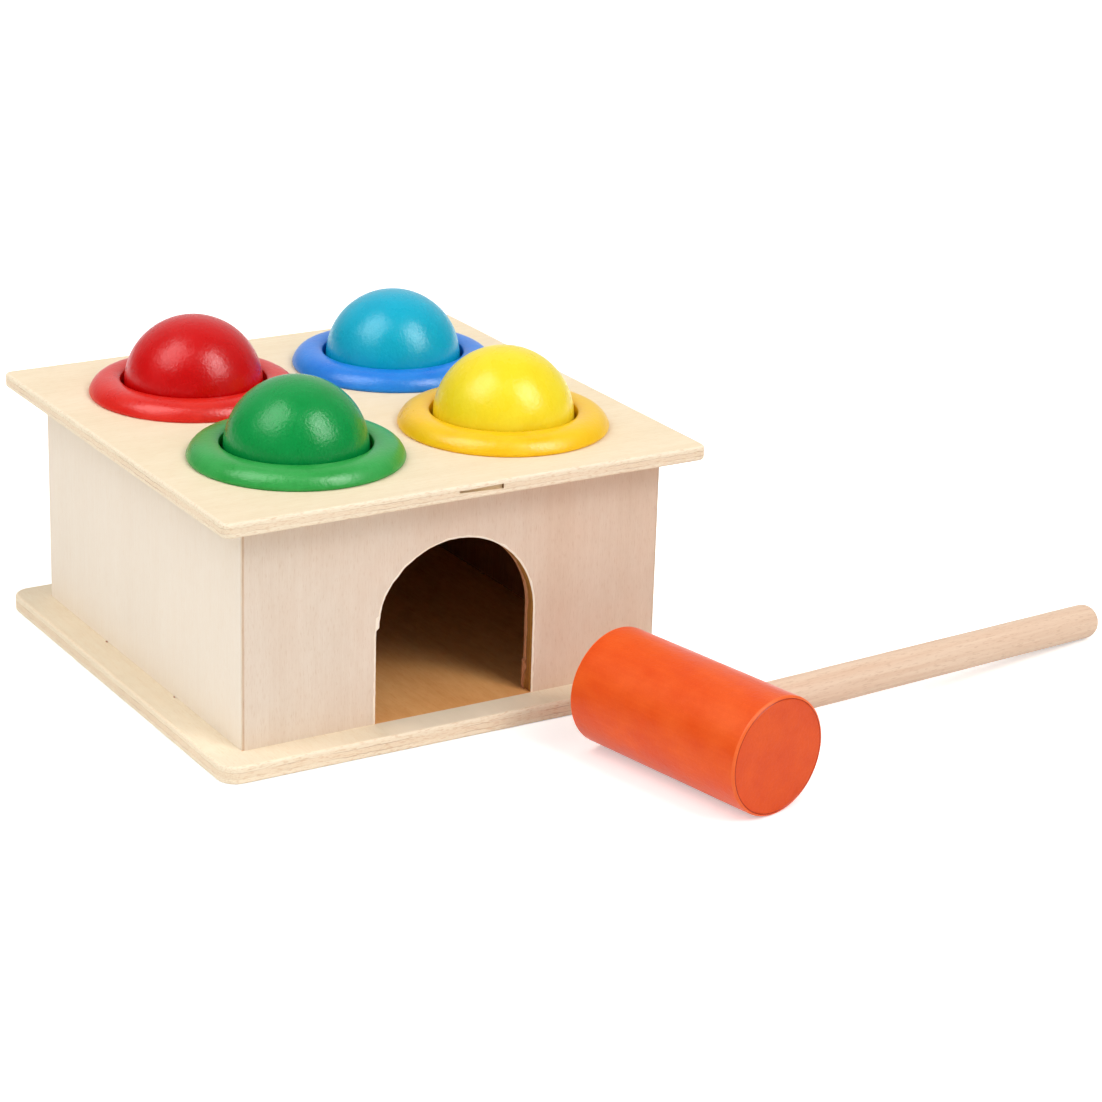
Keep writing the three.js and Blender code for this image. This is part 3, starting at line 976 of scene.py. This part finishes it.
# %% Door rim
RIM_WIDTH = 0.5 * MM
RIM_RAGGED = 0.5  # how far noise widens or narrows the rim, as a share of its width
RIM_DEPTH = 0.12 * MM
RIM_ROUGH = 0.05 * MM
ROUGH_LENGTH = 0.8 * MM
TOOTH_DEPTH = 0.2 * MM
TOOTH_LENGTH = 2.0 * MM
SPLINTER_JUT = 0.55 * MM
SPLINTER_FOOT = 2.1 * MM  # above the spring
SPLINTER_HEIGHT = 3.0 * MM
SPLINTER_FADE = 1.2 * MM
CHIP_WIDTH = 0.7 * MM
TEAR_JUT = 0.5 * MM
TEAR_HEIGHT = 7.6 * MM
TEAR_LENGTH = 1.5 * MM
TEAR_MEAN, TEAR_RAGGED = 0.8, 0.6  # shares of the jut: its middle, and how far noise moves it


def past_splinter_foot(x, z):
    return z - spring_height - SPLINTER_FOOT if x < 0 else -math.inf


def rim_width(x, z):
    ragged = 1 + RIM_RAGGED * noise.noise(Vector((x, 0, z)) / TOOTH_LENGTH)
    chip = CHIP_WIDTH if 0 < past_splinter_foot(x, z) < SPLINTER_HEIGHT else 0
    return RIM_WIDTH * ragged + chip


def rim_push(x, z, depth):
    place = Vector((x, depth, z))
    push = RIM_ROUGH * noise.noise(place / ROUGH_LENGTH)
    above = past_splinter_foot(x, z)
    if above > 0:
        push += TOOTH_DEPTH * noise.noise(place / TOOTH_LENGTH)
        push -= SPLINTER_JUT * math.exp(-max(0, above - SPLINTER_HEIGHT) / SPLINTER_FADE)
    return push


def tear(x, z):
    if x < 0 or z - floor_height > TEAR_HEIGHT:
        return 0.0
    return TEAR_JUT * (TEAR_MEAN + TEAR_RAGGED * noise.noise(Vector((x, 0, z)) / TEAR_LENGTH))


print("splinter juts %.2f mm, torn ply %.2f mm" % (SPLINTER_JUT / MM, TEAR_JUT / MM))

# %% [markdown]
# The slices follow the plies: two for the pale edge, two for the face ply, two for the core, which is worn
# back a little, and two for the back ply with its tear. A last one carries the cutter out behind. Each slice
# has its depth, its share of the rim's width, its recess and its share of the tear.

# %% Door cutter
CORE_RECESS = 0.1 * MM
LAYER_STEP = 0.05  # of a ply, for the step from one layer to the next
SAWN_FACE, SANDED_RIM = range(2)  # the order of the cutter's finishes


def door_cutter():
    face, ply = -box_half, wall_thickness / 3
    slices = [(face - OVERRUN, 1, 0, 0), (face, 1, 0, 0), (face + RIM_DEPTH, 0, 0, 0), (face + ply, 0, 0, 0)]
    core_start, core_end = (1 + LAYER_STEP) * ply, (2 - LAYER_STEP) * ply
    slices += [(face + core_start, 0, CORE_RECESS, 0), (face + core_end, 0, CORE_RECESS, 0)]
    slices += [(face + 2 * ply, 0, 0, 1), (face + 3 * ply, 0, 0, 1), (face + 3 * ply + OVERRUN, 0, 0, 1)]
    line = door_line()
    points = []
    for depth, rim_share, recess, tear_share in slices:
        for (x, z), (out_x, out_z) in line:
            push = recess + rim_push(x, z, depth) + rim_share * rim_width(x, z) - tear_share * tear(x, z)
            points.append((x + push * out_x, depth, z + push * out_z))
    count = len(line)
    faces = bands(count, len(slices))
    rim_band = 1  # between the second slice and the third
    finish_of = [SANDED_RIM if index // count == rim_band else SAWN_FACE for index in range(len(faces))]
    faces += [tuple(range(count)), tuple(range(len(points) - count, len(points)))]
    return make_piece("door_cutter", points, faces, [wall_edge, arris], finish_of + [SAWN_FACE] * 2)


front = wall_blank("front_wall", [], front_veneer, glued=True)
carve(front, [door_cutter()])
smooth(front, corner=10)
dress(front, "bench", "front_panel")

# %% [markdown]
# ## Turned pieces
# Rings, elastic rings, hammer head and handle were all turned on a lathe, so they are made the way a lathe
# makes them: a profile of radius and height is carried round the axis. A profile that starts and ends on
# the axis gives a solid piece, and one that closes on itself gives a ring. Blender's Screw modifier does the
# same, but a short function keeps the number of rows in our hands. `sway` draws the surface in by a few
# hundredths of a millimetre here and there, as hand sanding does.

# %% Lathe
def lathe(name, profile, segments, finishes, ring=False, finish_of_row=None):
    turns = np.linspace(0, 2 * math.pi, segments, endpoint=False)
    rows = [*profile, profile[0]] if ring else profile
    points = [(r * math.cos(a), r * math.sin(a), z) for r, z in rows for a in turns]
    quads = bands(segments, len(rows))
    finish_of = None
    if finish_of_row is not None:
        finish_of = [finish_of_row[index // segments] for index in range(len(quads))]
    return make_piece(name, points, quads, finishes, finish_of)


def sway(piece, amount, wavelength, seed):
    for vertex in piece.data.vertices:
        push = noise.noise(Vector((seed, seed, seed)) + vertex.co / wavelength)
        vertex.co -= vertex.normal * amount * (1 + push) / 2


print("lathe ready")

# %% [markdown]
# A ring has a flange that lies on the top plate, a spigot that fills the hole, and a groove in its bore. The
# elastic ring lies in the groove and grips the ball until it is struck. The flange falls from its crest in a
# long bend that is almost straight near its rim, which spreads the highlights over its whole outer side.
# Such a bend is one quadratic curve: it leaves its start towards a knee and arrives from there at its end.

# %% Ring profile
FLANGE_LIP = 2.4 * MM  # from the bore out to the crest
FLANGE_LIP_DROP = 0.9 * MM
FLANGE_RIM_HEIGHT = 0.8 * MM  # where the flange is widest
FLANGE_FOOT = 0.45 * MM
FLANGE_SLOPE = math.radians(72)  # of its outer side, where it is widest
GROOVE_FIT = 0.1 * MM
FOOT_STEPS, OUTER_STEPS, INNER_STEPS = 6, 24, 12


def bend(start, knee, end, steps):
    points = []
    for share in np.linspace(0, 1, steps + 1):
        weights = ((1 - share) ** 2, 2 * share * (1 - share), share ** 2)
        points.append(tuple(np.dot(weights, (start, knee, end))))
    return points


def ring_profile(colour):
    low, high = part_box("ring_" + colour)
    radii = radii_of("ring_" + colour)
    bore, rim = radii.min(), radii.max()
    bottom, crest_height = low.z - top_height, high.z - top_height
    grip_low, grip_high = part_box("grip_ring_" + colour)
    groove_low, groove_high = grip_low.z - top_height - GROOVE_FIT, grip_high.z - top_height + GROOVE_FIT
    groove = radii_of("grip_ring_" + colour).max() + GROOVE_FIT
    crest = bore + FLANGE_LIP
    foot = arc((rim - FLANGE_FOOT, FLANGE_RIM_HEIGHT), (FLANGE_FOOT, FLANGE_RIM_HEIGHT), -90, 0, FOOT_STEPS)
    knee = rim - (crest_height - FLANGE_RIM_HEIGHT) / math.tan(FLANGE_SLOPE)
    outer = bend((rim, FLANGE_RIM_HEIGHT), (knee, crest_height), (crest, crest_height), OUTER_STEPS)
    lip = (crest, crest_height - FLANGE_LIP_DROP)
    inner = arc(lip, (FLANGE_LIP, FLANGE_LIP_DROP), 90, 180, INNER_STEPS)
    bore_line = [(bore, groove_high), (groove, groove_high), (groove, groove_low), (bore, groove_low)]
    spigot = [(bore, bottom), (spigot_radius, bottom), (spigot_radius, 0)]
    return foot + outer[1:] + inner[1:] + bore_line + spigot


print("ring profile:", len(ring_profile("red")), "points")

# %% [markdown]
# The four rings are alike but for their paint. Each is turned round its own Z axis and then set down on the
# top plate, over the middle of its solid.

# %% Rings
RING_SEGMENTS = 160

for colour in COLOURS:
    ring = lathe(colour + "_ring", ring_profile(colour), RING_SEGMENTS, [ring_paints[colour]], ring=True)
    sway(ring, amount=0.05 * MM, wavelength=9 * MM, seed=3.0)
    station = middle("ring_" + colour)
    ring.location = (station.x, station.y, top_height)
    smooth(ring)
    dress(ring, "bench", "ring_" + colour)

# %% [markdown]
# The elastic rings sit deep in the grooves. They are matt black rubber with a faint grey bloom, round in
# section, with the fine seam that a mould leaves on top.

# %% Elastic rings
SEAM = 0.06 * MM
SECTION_STEPS = 24
ELASTIC_SEGMENTS = 96
RUBBER_ROUGHNESS = 0.75
BLOOM_SPAN = (0.4, 0.75)  # noise from clean rubber to full bloom


def rubber(name, dark, bloom, seed):
    material, tree, shader = start_finish(name, VENEER_SPECULAR)
    shader.inputs["Roughness"].default_value = RUBBER_ROUGHNESS
    cloud = fibres(tree, ALONG_X, length=3, width=3, seed=seed)
    bloomed = rescale(tree, cloud, BLOOM_SPAN, (0, 1))
    tree.links.new(mix(tree, bloomed, dark, bloom), shader.inputs["Base Color"])
    skin = fibres(tree, ALONG_X, length=0.3, width=0.3, seed=seed + 2)
    relief(tree, shader, skin, depth=0.03, strength=0.4)
    return material


elastic = rubber("elastic", srgb(42, 38, 36), srgb(64, 60, 58), seed=61.0)
for colour in COLOURS:
    solid = "grip_ring_" + colour
    reach = radii_of(solid)
    centre_radius = (reach.min() + reach.max()) / 2
    section = (reach.max() - reach.min()) / 2 - SEAM
    last = 360 - 360 / SECTION_STEPS
    profile = arc((centre_radius, 0), (section, section), 0, last, SECTION_STEPS - 1)
    top_point = SECTION_STEPS // 4
    profile[top_point] = (profile[top_point][0], profile[top_point][1] + SEAM)
    grip = lathe(colour + "_elastic", profile, ELASTIC_SEGMENTS, [elastic], ring=True)
    grip.location = middle(solid)
    smooth(grip, corner=60)
    dress(grip, "bench", solid)

# %% [markdown]
# ## Balls
# A UV sphere pinches its faces at the poles, where a highlight would show it. A cube that is cut into a fine
# grid and then pushed out to a sphere has even faces everywhere. A shallow sway stands for the sanding and
# the dipped coat.

# %% Balls
BALL_CUTS = 35


def ball(name, radius, finish, seed):
    shape = bmesh.new()
    bmesh.ops.create_cube(shape, size=2)
    bmesh.ops.subdivide_edges(shape, edges=shape.edges, cuts=BALL_CUTS, use_grid_fill=True)
    for vertex in shape.verts:
        even = Vector(math.tan(axis * math.pi / 4) for axis in vertex.co)
        vertex.co = radius * even.normalized()
    mesh = bpy.data.meshes.new(name)
    shape.to_mesh(mesh)
    shape.free()
    mesh.materials.append(finish)
    piece = place_in_scene(name, mesh)
    sway(piece, amount=0.07 * MM, wavelength=8 * MM, seed=seed)
    return piece


for index, colour in enumerate(COLOURS):
    solid = "ball_" + colour
    ball_low, ball_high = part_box(solid)
    ball_radius = (ball_high.z - ball_low.z) / 2
    round_ball = ball(colour + "_ball", ball_radius, ball_paints[colour], seed=7.0 + index)
    round_ball.location = middle(solid)
    smooth(round_ball, corner=60)
    dress(round_ball, solid, solid)

# %% [markdown]
# ## Hammer
# The hammer lies on its head, and its handle slopes down to the floor. Its axes come from the solids: the
# longest direction of the handle's points is the handle's axis, and the head lies level across it. Both
# pieces are made along those axes, and their finishes turn the grain the same way.

# %% Hammer axes
handle_points = points_of("hammer_handle")
handle_axis = Vector(np.linalg.svd(handle_points - handle_points.mean(0))[2][0])
handle_axis *= math.copysign(1, handle_axis.x)
head_axis = Vector((0, 0, 1)).cross(handle_axis).normalized()
hammer_up = handle_axis.cross(head_axis)
head_centre = middle("hammer_head")


def axes(first, second, third):
    return Matrix((first, second, third)).transposed()


def reach_along(solid, axis):
    reach = (points_of(solid) - np.array(head_centre)) @ np.array(axis)
    return reach.min(), reach.max()


head_radius = head_centre.z
head_half = reach_along("hammer_head", head_axis)[1]
handle_start, handle_tip = reach_along("hammer_handle", handle_axis)
handle_radius = reach_along("hammer_handle", head_axis)[1]
along_head = axes(head_axis, hammer_up, handle_axis)
along_handle = axes(handle_axis, head_axis, hammer_up)
print("head %.1f x %.1f mm, handle to %.1f mm" % (2 * head_radius / MM, 2 * head_half / MM, handle_tip / MM))

# %% [markdown]
# The head carries a thicker, duller coat than the balls. Its rounded edges are a paler orange, a painted
# highlight along the rims, and on the flat ends the open grain has drunk the coat up, so they are a little
# darker. A turning line runs round each end just inside its edge, and it is painted dark, as painted shade
# in the groove. That makes four paints, which share their gloss and their grain.

# %% Head paints
HEAD_GLOSS = (0.30, 0.42)
HEAD_SPECULAR = 0.2

head_grain = along_head.to_euler()


def dull_paint(name, thick, thin, seed):
    return paint(name, thick, thin, head_grain, seed, HEAD_GLOSS, HEAD_SPECULAR)


head_paint = dull_paint("head_paint", srgb(229, 76, 12), srgb(243, 98, 28), 41.0)
# painted highlight: the paler orange of the rounded rims
rim_highlight_paint = dull_paint("rim_highlight_paint", srgb(239, 98, 38), srgb(247, 116, 56), 43.0)
# painted shade: the dark paint in the turning line
groove_shade_paint = dull_paint("groove_shade_paint", srgb(186, 56, 20), srgb(200, 68, 30), 45.0)
end_paint = dull_paint("end_paint", srgb(219, 70, 10), srgb(234, 90, 24), 47.0)
print("head paints: side, rim, turning line, end")

# %% [markdown]
# The handle is beech, which is known by its flecks: short darker dashes along the grain, on a fine straight
# ground. The finish is made before the head, because the wood in the head's socket is bare too.

# %% Beech
BEECH_SPAN = (0.35, 0.68)  # noise from the pale to the deep ground
BEECH_ROUGHNESS = (0.5, 0.65)
FLECK_SPAN = (0.57, 0.7)  # noise from the edge of a fleck to its middle
FLECK_SHARE = 0.5


def beech(name, pale, deep, fleck, grain, seed):
    material, tree, shader = start_finish(name, VENEER_SPECULAR)
    ground = fibres(tree, grain, length=45, width=1.1, seed=seed, detail=4.0)
    dashes = fibres(tree, grain, length=2.4, width=0.3, seed=seed + 6, detail=1.0)
    colour = mix(tree, rescale(tree, ground, BEECH_SPAN, (0, 1)), pale, deep)
    flecked = mix(tree, rescale(tree, dashes, FLECK_SPAN, (0, FLECK_SHARE)), colour, fleck)
    tree.links.new(flecked, shader.inputs["Base Color"])
    tree.links.new(spread(tree, ground, *BEECH_ROUGHNESS), shader.inputs["Roughness"])
    relief(tree, shader, calc(tree, "SUBTRACT", ground, dashes), depth=0.04, strength=0.3)
    return material


handle_grain = along_handle.to_euler()
dowel = beech("dowel", srgb(235, 206, 180), srgb(226, 191, 163), srgb(208, 169, 139), handle_grain, seed=51.0)
print("beech for the handle and the socket")

# %% [markdown]
# The head is a short cylinder with slightly rounded edges. Its profile starts in the middle of one end, dips
# into the turning line, follows the rounded edge, runs along the side and ends in the middle of the other
# end. Each step of it takes one of the four paints by where it lies.

# %% Head profile
HEAD_ROUND = 0.6 * MM
HEAD_ROWS = 22
TURNING_LINE = 0.13 * MM  # depth, and half of its width
END_RINGS = 6
EDGE_STEPS = 8
SANDED = 0.05 * MM  # keeps the finer ends inside the solid's own box
SIDE, HIGHLIGHT_RIM, SHADED_LINE, END = range(4)  # the order of the head's finishes


def head_end():
    flat = head_radius - HEAD_ROUND
    end = head_half - SANDED
    face = [(r, end) for r in np.linspace(0, flat - 2 * TURNING_LINE, END_RINGS)]
    line = [(flat - TURNING_LINE, end - TURNING_LINE)]
    return face + line + arc((flat, end - HEAD_ROUND), (HEAD_ROUND, HEAD_ROUND), 90, 0, EDGE_STEPS)


far_end = head_end()
near_end = [(r, -z) for r, z in far_end]
waist = [(head_radius, z) for z in np.linspace(near_end[-1][1], far_end[-1][1], HEAD_ROWS)[1:-1]]
head_profile = near_end + waist + far_end[::-1]


def head_finish(first, second):
    radius = (first[0] + second[0]) / 2
    height = abs(first[1] + second[1]) / 2
    flat = head_radius - HEAD_ROUND
    if height < head_half - SANDED - HEAD_ROUND:
        return SIDE
    if radius < flat - 2 * TURNING_LINE:
        return END
    return SHADED_LINE if radius < flat else HIGHLIGHT_RIM


head_finishes = [head_finish(*pair) for pair in zip(head_profile, head_profile[1:])]
print("head profile:", len(head_profile), "points")

# %% [markdown]
# The lathe turns round Z, so the finished shape is turned to the hammer's own axes. The socket for the handle
# is a blind hole: its cutter starts where the handle starts and runs out of the head on the handle's side.

# %% Hammer head
HEAD_SEGMENTS = 128
DOWEL_SEGMENTS = 64
SOCKET_FIT = 0.15 * MM


def turned_along(piece, own_axes):
    piece.data.transform(own_axes.to_4x4())
    piece.location = head_centre


head_paints = [head_paint, rim_highlight_paint, groove_shade_paint, end_paint]
head = lathe("hammer_head_turned", head_profile, HEAD_SEGMENTS, head_paints, finish_of_row=head_finishes)
sway(head, amount=0.06 * MM, wavelength=12 * MM, seed=17.0)
turned_along(head, axes(hammer_up, handle_axis, head_axis))
socket_radius = handle_radius + SOCKET_FIT
socket_top = 2 * head_radius
socket_profile = [(0, handle_start), (socket_radius, handle_start)]
socket_profile += [(socket_radius, socket_top), (0, socket_top)]
socket = lathe("socket", socket_profile, DOWEL_SEGMENTS, [dowel])
turned_along(socket, axes(head_axis, hammer_up, handle_axis))
carve(head, [socket])
smooth(head)
dress(head, "hammer", "hammer_head")

# %% [markdown]
# The handle is a plain dowel with one rounded end. It starts at the bottom of the socket.

# %% Hammer handle
TIP_ROUND = 3.0 * MM
HANDLE_ROWS = 60
TIP_STEPS = 14


def handle_profile():
    flat = handle_radius - TIP_ROUND
    end = handle_tip - SANDED
    straight = end - TIP_ROUND
    rows = np.linspace(handle_start, straight, HANDLE_ROWS)[:-1]
    tip = arc((flat, straight), (TIP_ROUND, TIP_ROUND), 0, 90, TIP_STEPS)
    return [(0, handle_start)] + [(handle_radius, row) for row in rows] + tip + [(0, end)]


handle = lathe("hammer_handle_turned", handle_profile(), DOWEL_SEGMENTS, [dowel])
sway(handle, amount=0.08 * MM, wavelength=14 * MM, seed=23.0)
turned_along(handle, axes(head_axis, hammer_up, handle_axis))
smooth(handle)
dress(handle, "hammer", "hammer_handle")
